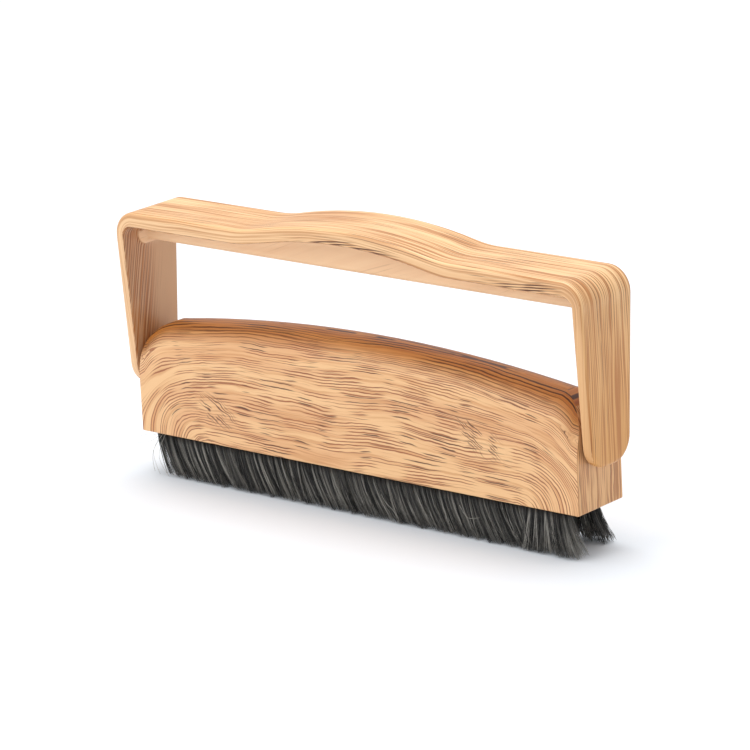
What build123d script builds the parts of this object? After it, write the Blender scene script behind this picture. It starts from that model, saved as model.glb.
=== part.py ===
"""Swing-handle record brush: a slim hollow body with two rows of fine fibres under it, and a bail handle
that turns on two pins in the body's ends.

Units are millimetres. +X runs along the body, -Y is the front, +Z is up. The origin is on the plane that
the fibre tips stand on, under the middle of the body. The handle stands upright at rest.
"""
import os
from math import sqrt

from build123d import *

# ---- driving dimensions -------------------------------------------------------------------------------
body_length = 108.0        # body, end to end
body_depth = 13.8          # body, front to back
body_height = 25.4         # underside to the crown of the arched top
arch_radius = 340.0        # the top is a shallow arch
corner_radius = 7.7        # upper corners, seen from the front
crown_radius = 6.6         # long upper edges, so that the top is almost fully round
crown_fade = 5.2           # the round crown runs on past the ends by this much, so it fades out there
edge_radius = 0.4          # upright and lower edges
bristle_reach = 8.8        # fibre that shows below the body
wall = 1.2                 # front and back walls
end_wall = 2.2             # end walls, which carry the pivots
roof = 1.6                 # top wall

pivot_height = 13.2        # pivot above the body's underside
side_gap = 0.8             # body end to handle leg
leg_thickness = 2.2
bar_thickness = 2.9        # top bar of the handle
bar_height = 44.7          # flat of the top bar above the body's underside
hump_height = 2.9          # finger rise in the middle of the bar
hump_radius = 100.0
hump_blend = 24.0          # radius where the rise meets the flat
handle_depth = 15.8        # top of the handle, front to back
leg_foot_width = 11.7      # lower end of a leg, front to back
leg_foot_height = 8.6      # lower end of a leg above the body's underside
leg_foot_radius = 5.0
grip_edge_height = 38.1    # straight lower edge of the grip web above the body's underside
grip_width = 5.4           # grip web under the bar, front to back
grip_cove = 2.0            # hollow blend between the web and the bar
rim_radius = 0.9           # outer edges of the bar and the legs
inner_rim_radius = 0.45    # their inner edges

row_length = 100.5         # fibre rows
row_centre = 4.38          # row centre from the middle plane
row_root = 1.5             # fibre bundle in its channel, front to back
tip_inner = 2.6            # fibre bundle at its tips, nearest to and furthest from the middle plane
tip_outer = 6.6
channel_width = 2.6
channel_height = 4.6
channel_sheet = 0.4
channel_recess = 0.5       # channel mouth above the body's underside
channel_lip = 0.25         # each side of the mouth is crimped in by this much
wire_diameter = 0.8
insert_recess = 0.4        # base insert above the body's underside

rib_pitch = 12.0
rib_count = 9
rib_thickness = 1.2
screw_pitch = 36.0
screw_count = 3
screw_length = 11.6
screw_head_radius = 1.8
screw_shank_radius = 1.0
post_radius = 2.6
pilot_radius = 0.85

pin_radius = 1.5
pin_head_radius = 3.5
pin_head_height = 1.2
pin_tip = 4.7              # the pin ends this far inside the body's end face
bush_radius = 2.5
running_clearance = 0.03   # radial, pin in bush
thrust_thickness = 0.6
thrust_radius = 4.0
spring_radius = 3.2
spring_sheet = 0.2
spring_height = 0.45
seat_depth = 3.0           # flat seat for the spring, cut into the end wall's inner corner
ring_radius = 2.9
ring_thickness = 0.4
groove_radius = 1.1
groove_place = 2.85        # groove starts this far inside the body's end face

# ---- worked-out places --------------------------------------------------------------------------------
underside = bristle_reach
crown = underside + body_height
pivot_z = underside + pivot_height
half_length = body_length / 2
leg_inner = half_length + side_gap
leg_outer = leg_inner + leg_thickness
bar_top = underside + bar_height
bar_bottom = bar_top - bar_thickness
grip_edge = underside + grip_edge_height
channel_bottom = underside + channel_recess
channel_top = channel_bottom + channel_height
insert_bottom = underside + insert_recess
wire_z = channel_top - channel_sheet - 0.4 - wire_diameter / 2
screw_places = [(screw_pitch * (i - (screw_count - 1) / 2), 0) for i in range(screw_count)]
cavity_width = body_depth - 2 * wall

tip_radius = sqrt(pivot_z**2 + tip_outer**2)
print("grip edge clears the fibre tips by", round(grip_edge - pivot_z - tip_radius, 2), "mm as it swings under")

os.makedirs("parts", exist_ok=True)


def write(block, name):
    """Labels a finished piece and writes it to its own file."""
    block.part.label = name
    export_step(block.part, f"parts/{name}.step")


def arch_height(x, radius, top):
    """Height of an arch with this radius and crown, at a distance x from the middle."""
    return top - radius + sqrt(radius**2 - x**2)


def arched_block(half, top, radius, corner, bottom, depth):
    """Block with a flat underside, upright ends, an arched top and rounded upper corners."""
    shoulder = arch_height(half, radius, top)
    with BuildPart() as block:
        with BuildSketch(Plane.XZ.offset(-depth / 2)) as face:
            with BuildLine():
                Polyline((-half, shoulder), (-half, bottom), (half, bottom), (half, shoulder))
                ThreePointArc((-half, shoulder), (0, top), (half, shoulder))
            make_face()
            fillet(face.vertices().group_by(Axis.Y)[-1], corner)
        extrude(amount=depth)
    return block


def soft_edges(block, radius):
    """Rounds the whole outline of an arched block, front and back."""
    with BuildPart() as softened:
        add(block.part)
        ends = softened.faces().filter_by(Axis.Y)
        fillet(ends.edges().filter_by(lambda e: e.center().Z > 1), radius)
    return softened


# ---- body shell: a moulded cap, open underneath -------------------------------------------------------
outer = arched_block(half_length, crown, arch_radius, corner_radius, underside, body_depth)
outer_crown = soft_edges(
    arched_block(half_length + crown_fade, crown, arch_radius, corner_radius + crown_fade, 0, body_depth),
    crown_radius
)
hollow = arched_block(half_length - end_wall, crown - roof, arch_radius - roof, corner_radius - end_wall,
                      underside - 1, cavity_width)
hollow_crown = soft_edges(
    arched_block(half_length - end_wall + crown_fade, crown - roof, arch_radius - roof,
                 corner_radius - end_wall + crown_fade, 0, cavity_width), crown_radius - wall
)

with BuildPart() as cavity:
    add(hollow.part)
    add(hollow_crown.part, mode=Mode.INTERSECT)

with BuildPart() as frame_inside:
    # Cross ribs hold the channels and the base insert up, and the posts take their screws.
    with BuildSketch(Plane.XY.offset(channel_top)):
        with GridLocations(rib_pitch, 0, rib_count, 1):
            Rectangle(rib_thickness, body_depth)
        with Locations(*screw_places):
            Circle(post_radius)
    extrude(amount=body_height)
    add(cavity.part, mode=Mode.INTERSECT)

with BuildPart() as body_shell:
    add(outer.part)
    ends = body_shell.faces().filter_by(Axis.Y)
    fillet(ends.edges().filter_by(lambda e: e.center().Z > underside + 1), edge_radius)
    fillet(body_shell.faces().sort_by(Axis.Z)[0].edges(), edge_radius - 0.1)
    add(outer_crown.part, mode=Mode.INTERSECT)
    add(cavity.part, mode=Mode.SUBTRACT)
    add(frame_inside.part)
    with Locations(*[Location((x, y, channel_top), (180, 0, 0)) for x, y in screw_places]):
        Hole(pilot_radius, screw_length - 3.6)
    # Pivot bores, one through each end wall, each with a flat seat inside for its spring and ring.
    for bore_start, seat_start in ((-half_length, -half_length + end_wall),
                                   (half_length - end_wall, half_length - end_wall - seat_depth)):
        with BuildSketch(Plane.YZ.offset(bore_start)):
            with Locations((0, pivot_z)):
                Circle(bush_radius)
        extrude(amount=end_wall, mode=Mode.SUBTRACT)
        with BuildSketch(Plane.YZ.offset(seat_start)):
            with Locations((0, pivot_z)):
                Circle(spring_radius + 0.3)
        extrude(amount=seat_depth, mode=Mode.SUBTRACT)
write(body_shell, "body_shell")

# ---- base insert: keeps the two channels against the walls and closes the ends ------------------------
insert_half = half_length - end_wall - 0.05
insert_web = 2 * row_centre - channel_width

with BuildPart() as base_insert:
    with BuildSketch(Plane.XY.offset(insert_bottom)):
        Rectangle(2 * insert_half, cavity_width - 0.1)
        with Locations((0, row_centre + 2), (0, -row_centre - 2)):
            Rectangle(row_length + 0.1, channel_width + 4, mode=Mode.SUBTRACT)
    extrude(amount=channel_top - insert_bottom)
    with Locations(*[Location((x, y, insert_bottom), (180, 0, 0)) for x, y in screw_places]):
        CounterSinkHole(screw_shank_radius + 0.1, screw_head_radius, counter_sink_angle=90)
write(base_insert, "base_insert")

# ---- self-tapping screws that hold the base insert ----------------------------------------------------
with BuildPart() as base_screws:
    for x, y in screw_places:
        with BuildSketch(Plane(origin=(x, y, insert_bottom), x_dir=(1, 0, 0), z_dir=(0, -1, 0))):
            with BuildLine():
                head = screw_head_radius - screw_shank_radius
                neck = channel_top - insert_bottom - 0.2
                Polyline((0, 0), (screw_head_radius - 0.05, 0), (screw_shank_radius, head - 0.05),
                         (screw_shank_radius, neck), (pilot_radius - 0.01, neck + 0.15),
                         (pilot_radius - 0.01, screw_length - 0.8), (0.3, screw_length), (0, screw_length),
                         (0, 0))
            make_face()
        revolve(axis=Axis((x, y, 0), (0, 0, 1)))
    # Cross recess in each head.
    with BuildSketch(Plane.XY.offset(insert_bottom)):
        with Locations(*screw_places):
            Rectangle(1.9, 0.5)
            Rectangle(0.5, 1.9)
    extrude(amount=0.6, mode=Mode.SUBTRACT)
write(base_screws, "base_screws")


# ---- fibre strips: folded channel, core wire and fibres, front and rear -------------------------------
def strip_plane(sign):
    """Plane across a strip at its left end: sketch x points away from the body's middle."""
    if sign < 0:
        return Plane(origin=(row_length / 2, -row_centre, 0), x_dir=(0, -1, 0), z_dir=(-1, 0, 0))
    return Plane(origin=(-row_length / 2, row_centre, 0), x_dir=(0, 1, 0), z_dir=(1, 0, 0))


inner_half = channel_width / 2 - channel_sheet
mouth = inner_half - channel_lip

for name, sign in (("front", -1), ("rear", 1)):
    with BuildPart() as channel:
        with BuildSketch(strip_plane(sign)):
            with Locations((0, (channel_bottom + channel_top) / 2)):
                Rectangle(channel_width, channel_height)
            with BuildLine():
                Polyline((-mouth, channel_bottom), (-inner_half, channel_bottom + 1.2),
                         (-inner_half, channel_top - channel_sheet), (inner_half, channel_top - channel_sheet),
                         (inner_half, channel_bottom + 1.2), (mouth, channel_bottom), (-mouth, channel_bottom))
            make_face(mode=Mode.SUBTRACT)
        extrude(amount=row_length)
        fillet(channel.edges().filter_by(Axis.X).group_by(Axis.Z)[-1], 0.35)
    write(channel, f"{name}_channel")

    with BuildPart() as core_wire:
        with BuildSketch(strip_plane(sign)):
            with Locations((0, wire_z)):
                Circle(wire_diameter / 2)
        extrude(amount=row_length)
    write(core_wire, f"{name}_core_wire")

    with BuildPart() as bristles:
        # The fibres fold over the wire, fill the channel, leave its mouth and fan out towards their tips.
        neck = mouth - 0.02
        top = channel_top - channel_sheet - 0.05
        with BuildSketch(strip_plane(sign)):
            with BuildLine():
                Polyline((tip_inner - row_centre, 0), (tip_outer - row_centre, 0),
                         (neck + 0.35, underside - 0.3), (neck, channel_bottom),
                         (row_root / 2, channel_bottom + 1.3), (row_root / 2, top),
                         (-row_root / 2, top), (-row_root / 2, channel_bottom + 1.3),
                         (-neck, channel_bottom), (-neck - 0.35, underside - 0.3),
                         (tip_inner - row_centre, 0))
            make_face()
            with Locations((0, wire_z)):
                Circle(wire_diameter / 2, mode=Mode.SUBTRACT)
        extrude(amount=row_length)
    write(bristles, f"{name}_bristles")


# ---- handle: one moulding, a bar with two tapered legs and a grip web under the bar --------------------
def bail_block(half, top, rise_radius, blend, corner, depth):
    """Block under a bail's outline: upright sides, round corners, and a finger rise in the middle."""
    reach = sqrt(rise_radius**2 - (rise_radius - hump_height) ** 2)
    with BuildPart() as block:
        with BuildSketch(Plane.XZ.offset(-depth / 2)) as face:
            with BuildLine():
                Polyline((-reach, top), (-half, top), (-half, 0), (half, 0), (half, top), (reach, top))
                ThreePointArc((-reach, top), (0, top + hump_height), (reach, top))
            make_face()
            fillet(face.vertices().filter_by(lambda v: v.Y > top - 1 and abs(v.X) < half - 1), blend)
            fillet(face.vertices().filter_by(lambda v: v.Y > top - 1 and abs(v.X) > half - 1), corner)
        extrude(amount=depth)
    return block


bail_outside = bail_block(leg_outer, bar_top, hump_radius, hump_blend, 4.7, handle_depth)
bail_inside = bail_block(leg_inner, bar_bottom, hump_radius - bar_thickness, hump_blend + bar_thickness, 2.1,
                         2 * handle_depth)

with BuildPart() as grip_web:
    with BuildSketch(Plane.XY.offset(grip_edge)):
        Rectangle(2 * leg_inner + 1, grip_width)
    extrude(amount=20)
    add(bail_outside.part, mode=Mode.INTERSECT)
    fillet(grip_web.edges().filter_by(Axis.X).group_by(Axis.Z)[0], 1.2)

with BuildPart() as leg_outline:
    # Seen from the end: the legs narrow from the bar to their rounded lower ends.
    with BuildSketch(Plane.YZ.offset(-leg_outer - 2)) as leg_face:
        with BuildLine():
            foot = underside + leg_foot_height
            knee = bar_top - 5
            high = bar_top + hump_height + 1
            wide = handle_depth / 2
            Polyline((-leg_foot_width / 2, foot), (leg_foot_width / 2, foot), (wide, knee), (wide, high),
                     (-wide, high), (-wide, knee), (-leg_foot_width / 2, foot))
        make_face()
        fillet(leg_face.vertices().group_by(Axis.Y)[0], leg_foot_radius)
        fillet(leg_face.vertices().filter_by(lambda v: abs(v.Y - knee) < 0.1), 40.0)
    extrude(amount=2 * leg_outer + 4)

def rise(x):
    """Height of the finger rise at a distance x from the middle."""
    return max(0.0, hump_height - x**2 / (2 * hump_radius))


def lies_on_outline(point):
    """Says whether a point of the bail's rim is on its outer outline."""
    return point.Z > bar_top + rise(point.X) - 0.6 or abs(point.X) > leg_outer - 0.9


def lies_on_inner_outline(point):
    """Says whether a point of the bail's rim is on its inner outline."""
    return abs(point.X) < leg_inner + 0.1 and point.Z < bar_bottom + rise(point.X) + 0.4


with BuildPart() as handle:
    add(bail_outside.part)
    add(bail_inside.part, mode=Mode.SUBTRACT)
    add(leg_outline.part, mode=Mode.INTERSECT)
    rims = handle.faces().filter_by(lambda f: abs(f.normal_at().Y) > 0.9)
    fillet(rims.edges().filter_by(lambda e: lies_on_outline(e.center())), rim_radius)
    rims = handle.faces().filter_by(lambda f: abs(f.normal_at().Y) > 0.9)
    inner_rims = rims.edges().filter_by(lambda e: lies_on_inner_outline(e.center()))
    fillet(inner_rims, inner_rim_radius)
    add(grip_web.part)
    roots = handle.edges().filter_by(lambda e: abs(abs(e.center().Y) - grip_width / 2) < 0.05)
    fillet(roots.filter_by(lambda e: e.center().Z > grip_edge + 1.5), grip_cove)
    # Blind pockets that hold the pin heads.
    for start in (-leg_inner - pin_head_height, leg_inner):
        with BuildSketch(Plane.YZ.offset(start)):
            with Locations((0, pivot_z)):
                Circle(pin_head_radius)
        extrude(amount=pin_head_height, mode=Mode.SUBTRACT)
write(handle, "handle")

# ---- pivots: headed pin, bush, thrust washer, cup spring and retaining ring at each end ----------------
for name, sign in (("left", -1), ("right", 1)):
    # Sketch x runs outwards along the pivot from the body's end face, sketch y is the radius.
    section = Plane(origin=(sign * half_length, 0, pivot_z), x_dir=(sign, 0, 0), z_dir=(0, -sign, 0))
    pivot = Axis((0, 0, pivot_z), (1, 0, 0))

    with BuildPart() as pivot_pin:
        with BuildSketch(section):
            with BuildLine():
                head_start = side_gap
                head_end = side_gap + pin_head_height
                groove_end = -groove_place - ring_thickness - 0.05
                Polyline((-pin_tip, 0), (head_end, 0), (head_end, pin_head_radius),
                         (head_start, pin_head_radius), (head_start, pin_radius),
                         (-groove_place, pin_radius), (-groove_place, groove_radius),
                         (groove_end, groove_radius), (groove_end, pin_radius),
                         (-pin_tip + 0.3, pin_radius), (-pin_tip, pin_radius - 0.3), (-pin_tip, 0))
            make_face()
        revolve(axis=pivot)
    write(pivot_pin, f"{name}_pivot_pin")

    with BuildPart() as pivot_bush:
        with BuildSketch(section):
            with Locations((-end_wall / 2, (bush_radius + pin_radius + running_clearance) / 2)):
                Rectangle(end_wall, bush_radius - pin_radius - running_clearance)
        revolve(axis=pivot)
    write(pivot_bush, f"{name}_pivot_bush")

    with BuildPart() as thrust_washer:
        with BuildSketch(section):
            with Locations((thrust_thickness / 2, (thrust_radius + pin_radius + 0.1) / 2)):
                Rectangle(thrust_thickness, thrust_radius - pin_radius - 0.1)
        revolve(axis=pivot)
    write(thrust_washer, f"{name}_thrust_washer")

    with BuildPart() as cup_spring:
        with BuildSketch(section):
            with BuildLine():
                near = -end_wall - 0.02
                rise = spring_height - spring_sheet
                Polyline((near, spring_radius), (near - spring_sheet, spring_radius),
                         (near - spring_sheet - rise, pin_radius + 0.1), (near - rise, pin_radius + 0.1),
                         (near, spring_radius))
            make_face()
        revolve(axis=pivot)
    write(cup_spring, f"{name}_cup_spring")

    with BuildPart() as retaining_ring:
        # Snap ring: open at its top, with two lobes between its three prongs.
        ring_start = half_length - groove_place - ring_thickness if sign > 0 else -half_length + groove_place
        with BuildSketch(Plane.YZ.offset(ring_start)):
            with Locations((0, pivot_z)):
                Circle(ring_radius)
                Circle(groove_radius + 0.01, mode=Mode.SUBTRACT)
            with Locations((0, pivot_z + ring_radius)):
                Rectangle(2 * groove_radius - 0.4, 2 * ring_radius, mode=Mode.SUBTRACT)
            with Locations((-1.35, pivot_z - 0.78), (1.35, pivot_z - 0.78)):
                Circle(0.5, mode=Mode.SUBTRACT)
        extrude(amount=ring_thickness)
    write(retaining_ring, f"{name}_retaining_ring")
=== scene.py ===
"""Slim two-row record brush with a swing handle, built around its fixed frame."""
from math import atan2, cos, hypot, pi, radians, sin

import bpy
from bpy.props import FloatProperty, FloatVectorProperty, IntProperty, PointerProperty
from bpy.types import Operator, Panel, PropertyGroup
from mathutils import Matrix, Vector


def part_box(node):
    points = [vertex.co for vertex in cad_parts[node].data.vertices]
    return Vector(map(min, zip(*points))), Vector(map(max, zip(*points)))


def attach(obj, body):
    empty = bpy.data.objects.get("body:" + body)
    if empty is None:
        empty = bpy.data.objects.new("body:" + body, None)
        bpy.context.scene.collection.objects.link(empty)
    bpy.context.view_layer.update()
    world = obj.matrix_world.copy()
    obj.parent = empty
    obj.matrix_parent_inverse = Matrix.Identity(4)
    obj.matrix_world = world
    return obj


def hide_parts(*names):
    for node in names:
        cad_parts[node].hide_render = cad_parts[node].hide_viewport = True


bl_info = {
    "name": "Swing-Handle Record Brush",
    "version": (1, 0, 0),
    "blender": (4, 5, 0),
    "location": "3D View > Sidebar > Record Brush",
    "description": "Builds a slim two-row brush with a swing handle around its fixed frame",
    "category": "Object",
}

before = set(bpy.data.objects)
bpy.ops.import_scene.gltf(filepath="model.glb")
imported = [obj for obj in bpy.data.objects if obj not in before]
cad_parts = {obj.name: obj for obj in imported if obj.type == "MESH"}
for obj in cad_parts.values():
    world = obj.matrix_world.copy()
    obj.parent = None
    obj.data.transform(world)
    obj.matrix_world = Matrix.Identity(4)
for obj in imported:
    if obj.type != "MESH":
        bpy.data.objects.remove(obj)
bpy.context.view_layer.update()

MM = 0.001
BODY_LOW, BODY_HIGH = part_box("body_shell")
HANDLE_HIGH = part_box("handle")[1]
UNDERSIDE = BODY_LOW.z
BODY_SIDE = BODY_HIGH.y
ARCH_RADIUS = 340 * MM         # the body's arched top
BODY_CORNER = 7.7 * MM         # where the arch turns down into the ends
LEG_INNER = 54.8 * MM          # inner face of each leg, from the middle
BAR_THICKNESS = 2.9 * MM
BAR_CORNER = 4.7 * MM          # outer radius where the bar turns into a leg
RISE_HEIGHT = 2.9 * MM         # finger rise in the middle of the bar
RISE_RADIUS = 100 * MM
RISE_BLEND = 0.8 * MM          # softens the film's run on and off the rise
BAR_TOP = HANDLE_HIGH.z - RISE_HEIGHT

# The printed pattern, in millimetres along and across the film.
CROWN_DEPTH = 3.9              # how far under the crest the painted shade reaches
LINE_CENTRE = 4.0              # the body's lines turn down about a centre this far under its foot
LINE_TURNS = ((1, 38.5, 1.05), (-1, 35.5, 0.95))              # side, start, tightness
KNOTS = (((-34.0, 7.2), (6.5, 3.6)), ((31.5, 12.0), (8.0, 4.2)))      # centre, half size
KNOT_TURN, SCRIBBLE_TURN = radians(28), radians(33)
FLAMES = (((44.5, -10.0), (10.5, 2.1)), ((2.0, -10.5), (17.0, 1.3)))  # centre, half size
CORNER_CROWD = ((59.0, 0.0), (10.0, 13.0))                    # centre, half size
RIGHT_END_SHIFT, LEFT_END_SHIFT = 60, 90                      # keep the ends' grain apart
INNER_SHIFT, WEB_SHIFT = 130, 70                              # and the bail's other faces
WEB_GRAIN = (0.93, 0.36)       # the way the grain runs on the web

# The fibres' fan at the right-hand end of each row, measured from that end.
FAN_START, FAN_FULL = 10.5 * MM, 8.8 * MM
FAN_LENGTH = 10 * MM
FAN_LEFT, FAN_RIGHT = -1.9 * MM, 3.4 * MM      # how far its first and last tips lean

MATH = "ShaderNodeMath"
NOISE = "ShaderNodeTexNoise"


def linear_rgb(code):
    """Turns an sRGB hex colour into linear red, green and blue."""
    parts = [int(code[i:i + 2], 16) / 255 for i in (1, 3, 5)]
    return [p / 12.92 if p <= 0.04045 else ((p + 0.055) / 1.055) ** 2.4 for p in parts]


def rgba(colour):
    """A linear colour with full alpha, from a hex code or a colour property."""
    return (*(linear_rgb(colour) if isinstance(colour, str) else colour[:3]), 1.0)


def put(tree, kind, inputs=(), output=0, **settings):
    """Adds one node with its settings, links or sets its inputs, and returns one of its outputs."""
    node = tree.nodes.new(kind)
    for name, value in settings.items():
        setattr(node, name, value)
    for key, value in inputs.items() if isinstance(inputs, dict) else enumerate(inputs):
        if isinstance(value, bpy.types.NodeSocket):
            tree.links.new(value, node.inputs[key])
        else:
            node.inputs[key].default_value = value
    return node.outputs[output] if len(node.outputs) else node


def new_material(name):
    """An empty node material and its tree."""
    material = bpy.data.materials.new(name)
    material.use_nodes = True
    material.node_tree.nodes.clear()
    return material, material.node_tree


# ---- settings -----------------------------------------------------------------------------------------
class WoodFilmSettings(PropertyGroup):
    """Colours of the printed wood-grain film, and of the shade painted over the body's crown."""

    body_ground: FloatVectorProperty(
        name="Body ground", description="Light wood of the body", subtype="COLOR",
        default=linear_rgb("#EFC08C"))
    # Painted shade: this colour darkens the body's crown, which lies under the handle's bar.
    body_crown_shade: FloatVectorProperty(
        name="Body crown", description="Darkens the film where it stretches over the top",
        subtype="COLOR", default=linear_rgb("#D3AC6C"))
    body_line: FloatVectorProperty(
        name="Body grain", description="Reddish growth lines", subtype="COLOR",
        default=linear_rgb("#96522F"))
    dark_line: FloatVectorProperty(
        name="Dark grain", description="Few dark broken lines", subtype="COLOR",
        default=linear_rgb("#502C1C"))
    handle_ground: FloatVectorProperty(
        name="Handle ground", description="Pale wood of the handle", subtype="COLOR",
        default=linear_rgb("#F6CA96"))
    handle_line: FloatVectorProperty(
        name="Handle grain", description="Amber growth lines of the handle", subtype="COLOR",
        default=linear_rgb("#B06C30"))


class FibreSettings(PropertyGroup):
    """Sizes of the two fibre rows."""

    per_half_row: IntProperty(
        name="Fibres per half row", description="How many fibres each half of a row has", default=7000,
        min=100)
    thickness: FloatProperty(
        name="Thickness", description="Fibre thickness at its root", default=0.13 * MM, unit="LENGTH")
    sweep: FloatProperty(
        name="Sweep", description="How far the tips lean to the right", default=4.7 * MM, unit="LENGTH")
    colour: FloatVectorProperty(
        name="Colour", description="Charcoal of the fibres", subtype="COLOR", default=linear_rgb("#2C2B2A"))


class StageSettings(PropertyGroup):
    """Where the camera stands."""

    azimuth: FloatProperty(name="Azimuth", description="Camera turn about the brush",
                           default=radians(40.218), subtype="ANGLE")
    elevation: FloatProperty(name="Elevation", description="Camera height angle",
                             default=radians(16.139), subtype="ANGLE")
    roll: FloatProperty(name="Roll", description="Camera roll", default=radians(-2.920), subtype="ANGLE")
    distance: FloatProperty(name="Distance", description="Camera to the brush",
                            default=861.64 * MM, unit="LENGTH")
    lens: FloatProperty(name="Focal length", description="Lens on a 36 mm wide sensor",
                        default=217.19, subtype="DISTANCE_CAMERA")


# ---- materials ----------------------------------------------------------------------------------------
def growth_lines(tree, along, across, pitch, dash, width, cover, faint, seed):
    """Growth lines: thin faint lines along the grain that swell here and there into dark tapered dashes.

    along and across are coordinates in millimetres. pitch is the distance between lines, dash the usual
    length of a dash, width its greatest share of the pitch, cover how much of each line is dashes, and
    faint how strong a line stays between its dashes.
    """
    step = put(tree, MATH, (across, 1 / pitch, seed * 0.37), operation="MULTIPLY_ADD")
    line = put(tree, MATH, (step,), operation="FLOOR")
    nearness = put(tree, MATH, (step, 0.5), operation="PINGPONG")
    stretched = put(tree, MATH, (along, 1 / dash), operation="MULTIPLY")
    # Each line reads its own row of the noise, far enough from the next to differ from it.
    apart = put(tree, MATH, (line, 5.31, seed), operation="MULTIPLY_ADD")
    place = put(tree, "ShaderNodeCombineXYZ", (stretched, apart))
    breaks = put(tree, NOISE, {"Vector": place, "Scale": 1.0, "Detail": 1.0, "Roughness": 0.6},
                 noise_dimensions="2D")
    strength = put(tree, "ShaderNodeMapRange", {
        "Value": breaks, "From Min": 0.60 - 0.3 * cover, "From Max": 0.84 - 0.3 * cover, "To Min": faint},
        interpolation_type="SMOOTHSTEP")
    # A line sits half-way up each ping-pong ramp, and is as wide as its strength there allows.
    offset = put(tree, MATH, (nearness, 0.25), operation="SUBTRACT")
    offset = put(tree, MATH, (offset,), operation="ABSOLUTE")
    half = put(tree, MATH, (strength, width / 4), operation="MULTIPLY")
    inside = put(tree, MATH, (half, offset), operation="SUBTRACT")
    edge = put(tree, MATH, (inside, 8.8 / width), operation="MULTIPLY", use_clamp=True)
    return put(tree, MATH, (edge, strength), operation="MULTIPLY", use_clamp=True)


def wavy(tree, along, across, run, rise, amount):
    """The across coordinate with slow waves: run and rise are their sizes, amount their height, in mm."""
    a = put(tree, MATH, (along, 1 / run), operation="MULTIPLY")
    b = put(tree, MATH, (across, 1 / rise), operation="MULTIPLY")
    place = put(tree, "ShaderNodeCombineXYZ", (a, b))
    noise = put(tree, NOISE, {"Vector": place, "Scale": 1.0, "Detail": 1.5, "Roughness": 0.45},
                noise_dimensions="2D")
    shift = put(tree, MATH, (noise, 0.5), operation="SUBTRACT")
    return put(tree, MATH, (shift, 2 * amount, across), operation="MULTIPLY_ADD")


def streaks(tree, along, across, length, breadth, low, high, most):
    """Soft streaks of this length and breadth in mm: 0 where the noise is under low, most over high."""
    a = put(tree, MATH, (along, 1 / length), operation="MULTIPLY")
    b = put(tree, MATH, (across, 1 / breadth), operation="MULTIPLY")
    place = put(tree, "ShaderNodeCombineXYZ", (a, b))
    noise = put(tree, NOISE, {"Vector": place, "Scale": 1.0, "Detail": 2.0}, noise_dimensions="2D")
    return put(tree, "ShaderNodeMapRange", {
        "Value": noise, "From Min": low, "From Max": high, "To Max": most}, interpolation_type="SMOOTHSTEP")


def inked(tree, colour, inks):
    """Prints inks over a colour, one after another: each has a mask, a strength and a colour."""
    for mask, strength, ink in inks:
        factor = put(tree, MATH, (mask, strength), operation="MULTIPLY", use_clamp=True)
        colour = put(tree, "ShaderNodeMix", {0: factor, 6: colour, 7: rgba(ink)}, 2, data_type="RGBA")
    return colour


def spot(tree, place, centre, half_size, turn=0.0):
    """A soft oval spot on the film: 1 in its middle, 0 past its half length and half breadth in mm."""
    away = put(tree, "ShaderNodeVectorMath", (place, (*centre, 0.0)), operation="SUBTRACT")
    away = put(tree, "ShaderNodeVectorRotate", {"Vector": away, "Angle": turn}, rotation_type="Z_AXIS")
    away = put(tree, "ShaderNodeVectorMath", (away, (1 / half_size[0], 1 / half_size[1], 0.0)),
               operation="MULTIPLY")
    away = put(tree, "ShaderNodeVectorMath", (away,), "Value", operation="LENGTH")
    return put(tree, "ShaderNodeMapRange", {"Value": away, "From Min": 1.0, "From Max": 0.35},
               interpolation_type="SMOOTHSTEP")


def satin_film(tree, colour, lines):
    """Satin clear coat over the printed film on moulded ABS: soft highlights, lines sunk by a hair."""
    position = put(tree, "ShaderNodeTexCoord", (), "Object")
    # Faint orange peel of the coat, about 0.7 mm from dimple to dimple.
    peel = put(tree, NOISE, {"Vector": position, "Scale": 1400.0, "Detail": 1.0})
    height = put(tree, MATH, (lines, -0.35, peel), operation="MULTIPLY_ADD")
    bump = put(tree, "ShaderNodeBump", {"Height": height, "Strength": 0.22, "Distance": 0.00006})
    # The gloss drifts from place to place, over about 8 mm, as handled plastic does.
    gloss = put(tree, NOISE, {"Vector": position, "Scale": 120.0, "Detail": 2.0})
    roughness = put(tree, "ShaderNodeMapRange", {"Value": gloss, "To Min": 0.40, "To Max": 0.54})
    shader = put(tree, "ShaderNodeBsdfPrincipled", {
        "Base Color": colour, "Roughness": roughness, "IOR": 1.46, "Normal": bump,
        "Specular IOR Level": 0.42, "Coat Weight": 0.15, "Coat Roughness": 0.3})
    put(tree, "ShaderNodeOutputMaterial", {"Surface": shader})


def turned_down(tree, along, height, ends):
    """Distance of a growth line from a low centre: level along the middle, and turned down past both ends.

    Each entry of ends is a side, how far from the middle its lines start to turn, and how tightly.
    The cubes give each line a level run, a tight elbow and an upright stretch.
    """
    reach = 0.0
    for side, start, tightness in ends:
        past = put(tree, MATH, (along, side, -start), operation="MULTIPLY_ADD")
        past = put(tree, MATH, (past, 0.0), operation="MAXIMUM")
        reach = put(tree, MATH, (past, tightness, reach), operation="MULTIPLY_ADD")
    height = put(tree, MATH, (height, 0.0), operation="MAXIMUM")
    cubes = [put(tree, MATH, (value, 3.0), operation="POWER") for value in (reach, height)]
    both = put(tree, MATH, cubes, operation="ADD")
    return reach, put(tree, MATH, (both, 1 / 3), operation="POWER")


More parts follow.
